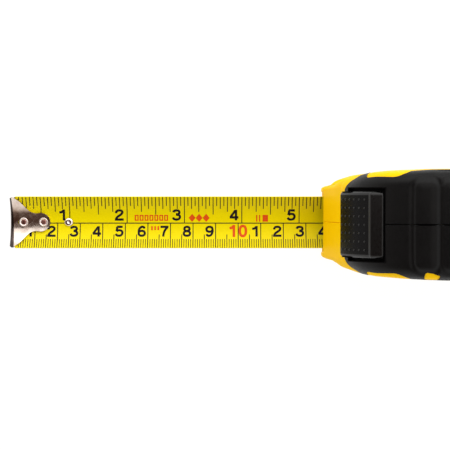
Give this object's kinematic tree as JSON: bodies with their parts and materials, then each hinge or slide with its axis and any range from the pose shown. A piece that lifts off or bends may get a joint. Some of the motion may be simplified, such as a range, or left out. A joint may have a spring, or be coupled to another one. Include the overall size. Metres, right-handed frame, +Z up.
{
  "type": "tape measure",
  "caption": "Pocket tape measure: yellow case with black rubber grip, thumb lock and a hooked, printed steel blade part-way out.",
  "frame": {"origin": "middle of the case's flat base, where it stands on a table, at the parting line", "axes": "+Z up out of the case's top; the blade runs out towards -X; +Y is the case's right-hand side, where the screws go in"},
  "size_m": [0.2205, 0.0464, 0.078],
  "materials": {
    "yellow_abs": "gloss, lightly textured",
    "black_rubber": "matte, fine grain",
    "black_plastic": "satin",
    "drum_plastic": "satin",
    "guide_acetal": "satin",
    "tape_enamel": "gloss enamel with printed graduations",
    "hook_chrome": "bright plated",
    "rivet_steel": "bright",
    "spring_steel": "oiled",
    "badge_print": "gloss"
  },
  "bodies": {
    "case": {"case_shell_right": "yellow_abs", "case_shell_left": "yellow_abs", "grip_right": "black_rubber", "grip_left": "black_rubber", "badge_right": "badge_print", "badge_left": "badge_print", "case_screw_front": "spring_steel", "case_screw_top": "spring_steel", "case_screw_heel": "spring_steel", "blade_guide": "guide_acetal", "spindle": "drum_plastic", "blade_lead": "tape_enamel"},
    "drum": {"drum_body": "drum_plastic", "drum_cover": "drum_plastic", "blade_coil": "tape_enamel", "power_spring": "spring_steel"},
    "blade": {"blade_strip": "tape_enamel", "hook_backing": "spring_steel", "hook_rivet_front": "rivet_steel", "hook_rivet_rear": "rivet_steel", "stop_rivet": "rivet_steel"},
    "hook": {"end_hook": "hook_chrome"},
    "lock": {"lock_button": "black_plastic", "thumb_pad": "black_plastic", "brake_shoe": "black_plastic", "brake_pad_right": "black_rubber", "brake_pad_left": "black_rubber"}
  },
  "joints": [
    {"name": "blade_slide", "type": "slide", "parent": "case", "child": "blade", "axis": [-1, 0, 0], "range_m": [-0.1355, 0], "stiffness_N_per_m": 20, "springref_m": -0.25, "deforming": ["blade_strip", "blade_lead"]},
    {"name": "reel_spin", "type": "hinge", "parent": "case", "child": "drum", "pos_m": [0, 0, 0.04], "axis": [0, 1, 0], "range_deg": [-270, 0]},
    {"name": "hook_float", "type": "slide", "parent": "blade", "child": "hook", "axis": [1, 0, 0], "range_m": [0, 0.0008]},
    {"name": "lock_travel", "type": "hinge", "parent": "case", "child": "lock", "pos_m": [0, 0, 0.04], "axis": [0, -1, 0], "range_deg": [0, 6.5]}
  ],
  "couplings": [
    {"joint": "reel_spin", "follows": "blade_slide", "rad_per_m": 34}
  ]
}
